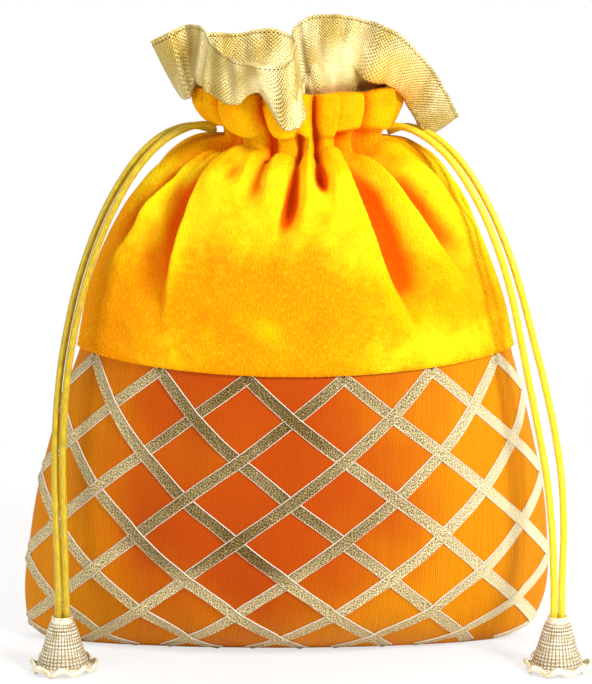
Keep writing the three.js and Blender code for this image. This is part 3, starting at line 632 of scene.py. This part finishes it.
velvet_faces = {}
for name, side, folds, columns in (("front", front, front_folds, 241), ("back", back, back_folds, 201)):
    face, uv, hollow, relief, crown = velvet_grid(side, folds, columns)
    velvet_faces[name] = (face, crown)
    panel = cloth(f"velvet_{name}_cloth", side, face, uv, velvet_finish, velvet_wall,
                  hollow=hollow, relief=relief)
    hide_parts(f"velvet_{name}_panel")
    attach(panel, "root")


# Pile. Velvet is woven with short upright tufts of yarn. They are seen one by one at the outline,
# so they are modelled at the cut hem and round the collar's fold only.
tuft_length = 0.9 * mm
tuft_width = 0.09 * mm
tufts_a_square_metre = 2.6e6
hem_share, hem_rows = 1.4, 1.5
crown_share, crown_reach = 0.8, 8

pile_tuft = Finish("velvet_tuft")
*_, place = pile_tuft.places("Object")
shade = pile_tuft.noise(place, 900.0, 1.0)
pile_finish = pile_tuft.surface(
    Base_Color=pile_tuft.blend(shade.step(0.35, 0.65), (0.9, 0.3, 0.0, 1), (1.0, 0.56, 0.0, 1)),
    Roughness=0.9, Specular_IOR_Level=0.05)


def tuft_nodes():
    """Scatters tufts over the marked parts of a mesh."""
    tree = bpy.data.node_groups.new("tufts", "GeometryNodeTree")
    for socket, kind in (("Geometry", "Geometry"), ("Density", "Float"), ("Length", "Float"),
                         ("Width", "Float"), ("Pile", "Material")):
        tree.interface.new_socket(socket, in_out="INPUT", socket_type="NodeSocket" + kind)
    tree.interface.new_socket("Geometry", in_out="OUTPUT", socket_type="NodeSocketGeometry")
    add = tree.nodes.new
    values, result = add("NodeGroupInput"), add("NodeGroupOutput")
    marked = add("GeometryNodeInputNamedAttribute")
    marked.data_type = "FLOAT"
    marked.inputs["Name"].default_value = "tufted"
    dense = add("ShaderNodeMath")
    dense.operation = "MULTIPLY"
    scatter = add("GeometryNodeDistributePointsOnFaces")
    scatter.inputs["Seed"].default_value = 4
    cone = add("GeometryNodeMeshCone")
    cone.inputs["Vertices"].default_value = 3
    place = add("GeometryNodeInstanceOnPoints")
    tilt = add("FunctionNodeRandomValue")
    tilt.data_type = "FLOAT_VECTOR"
    tilt.inputs[0].default_value = (-0.7, -0.7, 0)
    tilt.inputs[1].default_value = (0.7, 0.7, 6.28)
    turn = add("FunctionNodeRotateEuler")
    turn.space = "LOCAL"
    whole = add("GeometryNodeRealizeInstances")
    paint = add("GeometryNodeSetMaterial")
    for source, output, target, socket in (
            (marked, "Attribute", dense, 0), (values, "Density", dense, 1),
            (values, "Geometry", scatter, "Mesh"), (dense, 0, scatter, "Density"),
            (values, "Length", cone, "Depth"), (values, "Width", cone, "Radius Bottom"),
            (scatter, "Points", place, "Points"), (cone, "Mesh", place, "Instance"),
            (scatter, "Rotation", turn, "Rotation"), (tilt, "Value", turn, "Rotate By"),
            (turn, "Rotation", place, "Rotation"), (place, "Instances", whole, 0),
            (whole, 0, paint, "Geometry"), (values, "Pile", paint, "Material"),
            (paint, "Geometry", result, 0)):
        tree.links.new(source.outputs[output], target.inputs[socket])
    return tree


tufts = tuft_nodes()
tuft_values = {"Density": tufts_a_square_metre, "Length": tuft_length, "Width": tuft_width,
               "Pile": pile_finish}
for name, (face, crown) in velvet_faces.items():
    rows = np.arange(crown + crown_reach)
    columns = face.shape[1]
    tufted = hem_share * np.exp(-rows / hem_rows)
    tufted = tufted + np.exp(-((rows - crown) / crown_reach) ** 2) * crown_share
    quads = grid_faces(len(rows), columns)[:, ::1 if name == "front" else -1]
    base = mesh_piece(f"velvet_{name}_pile", face[:len(rows)], quads, tufted=np.repeat(tufted, columns))
    scatter = base.modifiers.new("tufts", "NODES")
    scatter.node_group = tufts
    for socket in tufts.interface.items_tree:
        if socket.in_out == "INPUT" and socket.name in tuft_values:
            scatter[socket.identifier] = tuft_values[socket.name]
    whole = bpy.data.meshes.new_from_object(base.evaluated_get(bpy.context.evaluated_depsgraph_get()))
    base.modifiers.clear()
    base.data = whole
    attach(base, "root")


# Frill. One strip of gold tissue for the front and one for the back, woven from flat metal thread,
# gathered inside the collar and standing out of it. Its free edge is stitched and overlocked.
tissue_wall = 0.35 * mm
frill_foot = 215 * mm
frill_inset = 0.75 * mm
frill_seat = 0.5 * mm
frill_bend_share = 0.64
frill_roll_share = 0.12
frill_bend_lift = 1.2 * mm
frill_width = 42
frill_rows = 64
# Stations from left to right, in mm: a point of the free edge, and one about halfway down to the
# collar.
front_frill = np.array([
    (-52.5, -1, 241.5, -41, -3, 220), (-45, -5, 245.5, -38, -11, 222), (-39, -1, 247.9, -36, -10, 229.8),
    (-32, -8, 247.9, -33, -20, 228.8), (-28, -20, 243.2, -30, -28, 225), (-21, -31, 238.4, -19, -34, 221.6),
    (-11, -37, 236, -9.5, -36, 225.9), (-2, -34, 236.5, -0.5, -39, 212.2), (3, -22, 241.2, 7, -35, 215.7),
    (3, -8, 247, 7, -20, 227.8), (8, 2, 250.3, 10, -13, 235.5), (19, -3, 252.2, 17, -13, 236.5),
    (31, -9, 250.8, 26, -14, 235.5), (37, -12, 248.9, 31, -19, 229.8), (44, -15, 245.5, 39, -15, 227.8),
    (54, -14, 235.5, 46, -10, 221.1), (61, -9, 225, 51, -7, 213.2), (67.5, -1, 212.4, 54, -5, 205.3),
]) * mm
back_frill = np.array([
    (-52.5, 1, 241.5, -41, 3, 220), (-48, 13, 242.2, -41, 15, 225.9), (-34, 27, 242.2, -31, 25, 228.8),
    (-20, 36, 241.2, -19, 31, 229.8), (-7, 33, 243.2, -6, 28, 230.7), (6, 39, 239.3, 6, 34, 228.8),
    (19, 35, 240.3, 17, 29, 229.8), (32, 38, 235.5, 28, 31, 226.9), (45, 24, 226.9, 38, 22, 225),
    (56, 13, 210.5, 47, 13, 216.2), (67.5, 1, 212.4, 54, 5, 205.3),
]) * mm


def frill_grid(side, folds, stations, columns):
    """The tissue's points from its foot in the collar to its free edge."""
    shares = np.linspace(-1, 1, columns)
    read = through(stations, (shares + 1) / 2 * (len(stations) - 1))
    hem, belly = read[:, :3], read[:, 3:]
    collar_height = girths[collar_top, 0]
    foot, lip = turned_in(side, folds, shares, np.array([frill_foot, collar_height]), frill_inset)
    lip[:, 2] = collar_height + crown_height(collar_lobes(folds, shares)) + frill_seat
    bend = lip + (belly - lip) * frill_bend_share
    # Where the frill falls below the collar's top, it rolls over it first.
    falls = belly[:, 2] < lip[:, 2]
    bend[falls, 2] = (lip + (belly - lip) * frill_roll_share)[falls, 2]
    bend[:, 2] += frill_bend_lift
    lines = np.stack([foot, lip, bend, belly, hem])
    down = np.linspace(0, 1, frill_rows)[:, None]
    grid = through(lines.reshape(5, -1), np.linspace(0, 4, frill_rows)).reshape(frill_rows, columns, 3)
    free = ramp(down, 0.3, 0.9) * (1 - np.abs(shares) ** 12)
    u = np.concatenate([[0], np.cumsum(np.linalg.norm(np.diff(hem, axis=0), axis=1))]) / mm
    v = down * frill_width
    crinkle = (rumple(u, v, 15, 31 + side) * 0.5 + rumple(u, v * 0.25, 7, 41 + side) * 0.3
               + np.sin(u * 0.55 + 2 * np.sin(u * 0.11)) * 0.5 * (1 - free))
    crinkle = crinkle * mm * ramp(v, 14, 26) * (1 - np.abs(shares) ** 12)
    grid = grid + outward(side, grid) * crinkle[..., None]
    edge = side * (seam_gap / 2 + tissue_wall)
    pinned = np.abs(shares) ** 40
    grid[..., 1] = grid[..., 1] * (1 - pinned) + edge * pinned
    run = np.linalg.norm(np.diff(grid, axis=0), axis=2).mean(axis=1)[::-1].cumsum()[::-1]
    below_hem = np.append(run, 0)[:, None] / mm
    return grid, np.stack(np.broadcast_arrays(u, below_hem), axis=-1)


thread_spacing = 1.5
tissue = Finish("gold_tissue")
across, up, _, weave_place = tissue.places()
x, y, z, _ = tissue.places("Object")
warp = ((across + up) * (2 * math.pi / thread_spacing)).math("SINE") * 0.5 + 0.5
weft = ((across - up) * (2 * math.pi / thread_spacing)).math("SINE") * 0.5 + 0.5
weave = warp * weft
glint = tissue.noise(tissue.stretched(weave_place, 2.0, 1.2), 1.0, 3.0, 0.7)
drift = tissue.noise(tissue.stretched(weave_place, 0.05, 0.03), 1.0, 2.0)
band = tissue.noise(tissue.stretched(weave_place, 0.075, 0.012), 1.0, 2.0)
tissue_colour = tissue.blend((drift + (glint - 0.5) * 0.5).step(0.36, 0.64),
                             (0.5, 0.35, 0.07, 1), (0.86, 0.73, 0.36, 1))
dark_thread = (glint + weave * 0.4 + (band - 0.5) * 1.8).step(0.62, 0.95)
tissue_colour = tissue.blend(dark_thread * 0.8, tissue_colour, (0.16, 0.1, 0.02, 1))
# Painted reflection: a warm orange patch where the frill hangs over the collar at the right, for the
# velvet's light thrown into the frill's shaded underside.
off_x, off_z = (x - 0.043) * 80.0, (z - 0.228) * 80.0
painted_velvet_reflection = (off_x * off_x + off_z * off_z).step(1.4, 0.2) * y.step(0.005, -0.002)
tissue_colour = tissue.blend(painted_velvet_reflection * 0.55, tissue_colour, (0.9, 0.45, 0.03, 1))
stitch = (up - 1.5).math("ABSOLUTE").step(0.42, 0.15) * ((across * 3.6).math("SINE") * 0.6 + 0.7)
tissue_colour = tissue.blend(stitch.math("MINIMUM", 0.9), tissue_colour, (0.2, 0.1, 0.01, 1))
tissue_finish = tissue.surface(
    Base_Color=tissue_colour, Metallic=0.62, Roughness=(glint * 0.3 + 0.24),
    Normal=tissue.bump(weave + glint * 0.8, 0.0004, 0.8))

for name, side, folds, stations, columns, cut in (
        ("front", front, front_folds, front_frill, 281, (0.2, 0.04)),
        ("back", back, back_folds, back_frill, 221, (0.17, 0.034))):
    grid, uv = frill_grid(side, folds, stations, columns)
    frill = cloth(f"{name}_tissue_frill", side, grid, uv, tissue_finish, tissue_wall, offset=0)
    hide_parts(f"gold_frill_{name}")
    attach(frill, "root")


# Drawcords. Two lengths of yellow satin rat-tail. Each goes once round the throat inside the
# casing, comes out of its own side slit as two strands, and hangs down to a woven cone.
strand_spread = 1.55
strand_end = 19.5
slit_room = 0.3 * mm
slit_ease = 1.15
# Heights of the two cords in the casing, one over the other, and the middles of the cones
casing_levels = {"left": 207.8, "right": 204.6}
cone_places = {"left": (-87.1, -42), "right": (106, -42)}
cord_sides = 16
# Each free strand: its cone, the side of the cone's middle on which it enters, and its points in mm
cord_routes = {
    "left_cord_front_strand": ("left", 1, [
        (-27.5, -2.2, 208.6), (-33, -4.4, 209.6), (-39, -7.2, 208.4), (-46, -10, 205), (-53, -13, 199),
        (-60, -15.8, 190), (-66.5, -18.4, 178.5), (-72.5, -20.4, 165), (-77.5, -21.8, 150),
        (-81.5, -23, 134), (-84.5, -24.4, 117), (-86.3, -26.6, 99), (-87, -29.6, 80),
        (-86.6, -33.4, 60), (-86, -37.6, 41), (-85.6, -40.8, 28.5)]),
    "left_cord_back_strand": ("left", -1, [
        (-27.5, 2.2, 206), (-34, 0.6, 208.4), (-41, -2.6, 208.3), (-49, -5.8, 205), (-56.5, -9, 198.6),
        (-63.5, -12, 189.4), (-70, -14.8, 178), (-75.8, -17, 164.6), (-80.8, -18.6, 149.6),
        (-84.7, -20.2, 133.6), (-87.7, -22, 116.6), (-89.5, -24.8, 98.6), (-90.2, -28.4, 79.6),
        (-89.8, -32.8, 59.6), (-89, -37.4, 40.6), (-88.6, -40.8, 28.5)]),
    "right_cord_inner_strand": ("right", -1, [
        (40, -2.2, 208.6), (45, -4.4, 208.8), (51, -7.4, 207), (58, -10.6, 202.6), (65, -13.6, 195.6),
        (71.5, -16.4, 186), (77.5, -18.8, 174.5), (83, -20.6, 160.5), (87.5, -22, 145.5),
        (91, -23.2, 129.5), (94.5, -24.8, 112), (98.4, -27.2, 93), (101.8, -30.4, 74),
        (103.8, -34.4, 55), (104.4, -38.2, 38.5), (104.5, -40.8, 28.5)]),
    "right_cord_outer_strand": ("right", 1, [
        (40, 2.2, 206), (46.5, 0.4, 208.2), (53.5, -3, 207), (61, -6.6, 202.8), (68.5, -10, 195.4),
        (75.2, -13.2, 185.6), (81.4, -16, 173.8), (87, -18.2, 160), (91.8, -19.8, 145),
        (96, -21.4, 129), (100.6, -23.4, 111.5), (104.8, -26, 92.6), (107.6, -29.6, 73.6),
        (108.4, -33.9, 54.6), (107.8, -38, 38.2), (107.5, -40.8, 28.5)]),
}

satin = Finish("yellow_satin_cord")
around, along, _, cord_place = satin.places()
twist = ((along * 5.5 + around * 2.0).math("SINE") * 0.5 + 0.5)
lay = satin.noise(satin.stretched(cord_place, 2.0, 0.25), 1.0, 2.0)
x, *_ = satin.places("Object")
# Painted light: the cord is coloured darker on the left and lighter on the right, as the light falls from
# the right.
shaded = satin.blend(lay.step(0.35, 0.7), (0.44, 0.29, 0.0, 1), (0.6, 0.44, 0.004, 1))
lit = satin.blend(lay.step(0.35, 0.7), (0.72, 0.52, 0.0, 1), (0.86, 0.69, 0.02, 1))
satin_colour = satin.blend(x.step(-0.07, 0.04), shaded, lit)
satin_finish = satin.surface(
    Base_Color=satin_colour, Roughness=0.36, Sheen_Weight=0.3, Sheen_Roughness=0.3,
    Normal=satin.bump(twist * 0.5 + lay, 0.00012, 0.5))


def cord_tube(name, path, radius, closed=False):
    """A round satin cord along a path of points, with its UV map around and along it."""
    way = (np.roll(path, -1, 0) - np.roll(path, 1, 0)) if closed else np.gradient(path, axis=0)
    way /= np.linalg.norm(way, axis=1, keepdims=True)
    side = np.cross(way[0], (0.3, 0.2, 1))
    rings, run = [], 0
    places = []
    for n, (point, ahead) in enumerate(zip(path, way)):
        side = side - ahead * side.dot(ahead)
        side /= np.linalg.norm(side)
        over = np.cross(ahead, side)
        turn = np.arange(cord_sides) * (2 * math.pi / cord_sides)
        rings.append(point + radius * (np.cos(turn)[:, None] * side + np.sin(turn)[:, None] * over))
        run += np.linalg.norm(point - path[n - 1]) if n else 0
        places.append(np.stack([turn, np.full(cord_sides, run / mm)], axis=-1))
    rings, places = np.array(rings), np.array(places)
    faces = grid_faces(len(path), cord_sides, 0, around=True)
    last = (len(path) - 1) * cord_sides
    around = np.arange(cord_sides)
    if closed:
        faces = np.concatenate([faces, np.stack([last + around, last + (around + 1) % cord_sides,
                                                 (around + 1) % cord_sides, around], axis=-1)])
    else:
        caps = [np.array([ring[0], ring[k], ring[k + 1], ring[k + 2]])
                for ring in (around[::-1], around + last) for k in range(1, cord_sides - 2, 2)]
        faces = np.concatenate([faces, caps])
    return mesh_piece(name, rings, faces, places, satin_finish)


for name, exit_side in (("left", -1), ("right", 1)):
    left, right, depth = girths[throat_girth, 1:4] - cord_inset
    gap = math.asin((cord_thick / 2 + slit_room) / depth) * slit_ease
    swing = np.linspace(gap, 2 * math.pi - gap, 97)
    run = np.stack([(right - left) / 2 + exit_side * (right + left) / 2 * np.cos(swing),
                    -depth * np.sin(swing),
                    casing_levels[name] * mm - girths[throat_girth, 4] * np.sin(swing) ** 2], axis=-1)
    hidden = cord_tube(f"{name}_cord_in_casing", run, cord_thick / 2)
    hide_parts(f"{name}_cord_casing_run")
    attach(hidden, "root")

strands = {}
for node, (cone, way, points) in cord_routes.items():
    x, y = cone_places[cone]
    spread = strand_spread * way
    route = np.array([*points, (x + spread, y, strand_end)]) * mm
    path = through(route, np.linspace(0, len(route) - 1, 241))
    strand = cord_tube(node.replace("_strand", ""), path, cord_thick / 2)
    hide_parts(node)
    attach(strand, "root")
    strands[node] = (strand, path, cone)


# Knots. Each pair of strands ends in one tight overhand knot, which stops inside its cone.
knot_loop, knot_cord = 1.8 * mm, 1.05 * mm
knot_height = strand_end - 3.2
for name, (x, y) in cone_places.items():
    t = np.linspace(0, 2 * math.pi, 121)[:-1]
    trefoil = np.stack([np.sin(t) + 2 * np.sin(2 * t), np.cos(t) - 2 * np.cos(2 * t),
                        -np.sin(3 * t)], axis=-1)
    loop = trefoil / 3 * knot_loop + np.array([x, y, knot_height]) * mm
    knot = cord_tube(f"{name}_overhand_knot", loop, knot_cord, closed=True)
    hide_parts(f"{name}_cord_knot")
    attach(knot, "root")


# Cones. Bell-shaped ends plaited from gold thread in rows, drawn tight at the top ring and
# finished below with a curled, scalloped lip.
cone_wall = 0.5 * mm
# The outline as radius and height, from inside the top ring down to the lip's curled edge
cone_outline = np.array([(3.1, 21.6), (3.7, 22.1), (4.2, 21.4), (4.1, 20.6), (5, 18.6), (6.2, 14.8),
                         (7.4, 10.6), (8.6, 7), (9.4, 4.4), (9.9, 2.9), (10.9, 1.6), (11.9, 0.9),
                         (12.2, 1.9), (11.6, 2.6)]) * mm
plait_rows, plait_stems = 14, 36
plait_foot, plait_height, plait_rise = 2.9 * mm, 18 * mm, 0.34 * mm
# The lip starts at this place of the outline, counted in its points.
lip_start = 8.8
lip_curls, lip_wave, lip_rise = 8, 0.8 * mm, 1.1 * mm

zari = Finish("woven_gold_thread")
around, along, _, cone_place = zari.places()
thread = ((along * 7.5 + (around * plait_stems).math("SINE") * 0.7).math("SINE") * 0.5 + 0.5)
tarnish = zari.noise(zari.stretched(cone_place, 2.0, 0.7), 1.0, 3.0)
# Painted shade: the plait is coloured dark brown in the gaps between its rows and stems.
plait_gap_shade = zari.shade("hollow")
zari_colour = zari.blend(tarnish.step(0.25, 0.6), (0.62, 0.5, 0.26, 1), (0.93, 0.87, 0.68, 1))
zari_colour = zari.blend(plait_gap_shade, zari_colour, (0.2, 0.13, 0.04, 1))
zari_finish = zari.surface(
    Base_Color=zari_colour, Metallic=0.4, Roughness=0.36,
    Normal=zari.bump(thread + tarnish * 0.4, 0.0002, 0.6))

for name, (x, y) in cone_places.items():
    rows, columns = 150, 216
    down = np.linspace(0, len(cone_outline) - 1, rows)
    radius, height = through(cone_outline, down).T
    turn = np.arange(columns) * (2 * math.pi / columns)
    body = ramp(down, 3.2, 3.8) * (1 - ramp(down, 8.6, 9.4))
    row = np.clip((height[:, None] - plait_foot) / plait_height, 0, 1) * plait_rows
    swell = np.abs(np.sin(row * math.pi)) ** 0.7
    stems = np.abs(np.sin(turn * plait_stems / 2)) ** 0.5
    plait = plait_rise * body[:, None] * (swell * stems * 1.4 - 0.6)
    lip = ramp(down, lip_start, 11)[:, None]
    phase = 0.4 if name == "left" else 1.1
    curl = np.cos(turn * lip_curls + phase) + 0.5 * np.cos(turn * 3 + phase)
    r = radius[:, None] + plait + lip * lip_wave * curl
    h = height[:, None] + lip * lip_rise * (1 + np.sin(turn * lip_curls + phase + 0.8))
    h = h - (h[down > lip_start].min() - cone_wall) * lip * 0.9
    points = np.stack([x * mm + r * np.cos(turn), y * mm + r * np.sin(turn), h * np.ones(columns)], axis=-1)
    uv = np.stack(np.broadcast_arrays(turn, down[:, None] * 2), axis=-1)
    # Painted shade: darkest where the plait's rows meet and between its stems.
    dark = body[:, None] * (1 - swell * stems) ** 0.8
    faces = grid_faces(rows, columns, 0, around=True)
    cone = mesh_piece(f"{name}_plaited_cone", points, faces[:, ::-1], uv, zari_finish, hollow=dark)
    walls = cone.modifiers.new("wall", "SOLIDIFY")
    walls.thickness = cone_wall
    walls.offset = -1
    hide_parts(f"{name}_woven_cone")
    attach(cone, "root")

for node, (strand, path, cone) in strands.items():
    run = np.linalg.norm(np.diff(path, axis=0), axis=1).sum()


# Room. A white paper floor in a white room with soft light, more of it from the right. The camera
# stands a little above the bag.
camera_distance = 1.1
camera_lift = math.radians(12)
camera_target = np.array([3.97, 0, 122.2]) * mm
millimetres_a_pixel = 0.397
image_height = 684

paper = Finish("white_paper")
rays = paper.node("ShaderNodeLightPath")
seen = Wire(paper, rays.outputs["Is Camera Ray"])
matt = paper.node("ShaderNodeBsdfDiffuse", None, {0: (0.86, 0.85, 0.84, 1)})
glow = paper.node("ShaderNodeEmission", None, {0: (1, 1, 1, 1), 1: 1.0})
x, y, *_ = paper.places("Object")
far = (x * x + y * y).step(0.02, 0.12)
mixed = paper.node("ShaderNodeMixShader", None, {
    0: seen * (far * 0.3 + 0.7), 1: Wire(paper, matt.outputs[0]), 2: Wire(paper, glow.outputs[0])})
paper.node("ShaderNodeOutputMaterial", None, {0: Wire(paper, mixed.outputs[0])})
floor_corners = np.array([(-4, -3, 0), (4, -3, 0), (4, 5, 0), (-4, 5, 0)], float)
floor = mesh_piece("floor", floor_corners, np.array([[0, 1, 2, 3]]), finish=paper.block)

sky = Finish("white_room", bpy.data.worlds)
bpy.context.scene.world = sky.block
rays = sky.node("ShaderNodeLightPath")
seen = Wire(sky, rays.outputs["Is Camera Ray"])
shown = seen.math("MAXIMUM", Wire(sky, rays.outputs["Is Transmission Ray"]))
shown = shown.math("MAXIMUM", Wire(sky, rays.outputs["Is Glossy Ray"]))
ambient = sky.node("ShaderNodeBackground", None, {0: (1.0, 0.98, 0.95, 1), 1: 0.42})
white = sky.node("ShaderNodeBackground", None, {0: (1, 1, 1, 1), 1: 1.0})
both = sky.node("ShaderNodeMixShader", None, {
    0: shown, 1: Wire(sky, ambient.outputs[0]), 2: Wire(sky, white.outputs[0])})
sky.node("ShaderNodeOutputWorld", None, {0: Wire(sky, both.outputs[0])})


def aimed(name, data, place):
    """A lamp or camera at a place, turned to the middle of the bag."""
    thing = bpy.data.objects.new(name, data)
    bpy.context.scene.collection.objects.link(thing)
    thing.location = place
    thing.rotation_euler = mathutils.Vector(camera_target - place).to_track_quat("-Z", "Y").to_euler()
    return thing


def soft_lamp(name, place, size, power):
    """A square lamp with a soft edge to its shadows."""
    light = bpy.data.lights.new(name, "AREA")
    light.size = size
    light.energy = power
    aimed(name, light, np.array(place))


soft_lamp("right_softbox", (0.75, -0.75, 0.75), 0.3, 16)
soft_lamp("left_softbox", (-0.8, -0.7, 0.55), 0.6, 4)
soft_lamp("top_softbox", (0.1, 0.25, 1.0), 0.5, 6)

lens = bpy.data.cameras.new("camera")
lens.lens = lens.sensor_width * camera_distance / (millimetres_a_pixel * mm * image_height)
camera_way = np.array([0, -math.cos(camera_lift), math.sin(camera_lift)])
bpy.context.scene.camera = aimed("camera", lens, camera_target + camera_distance * camera_way)
bpy.context.scene.view_settings.view_transform = "Standard"
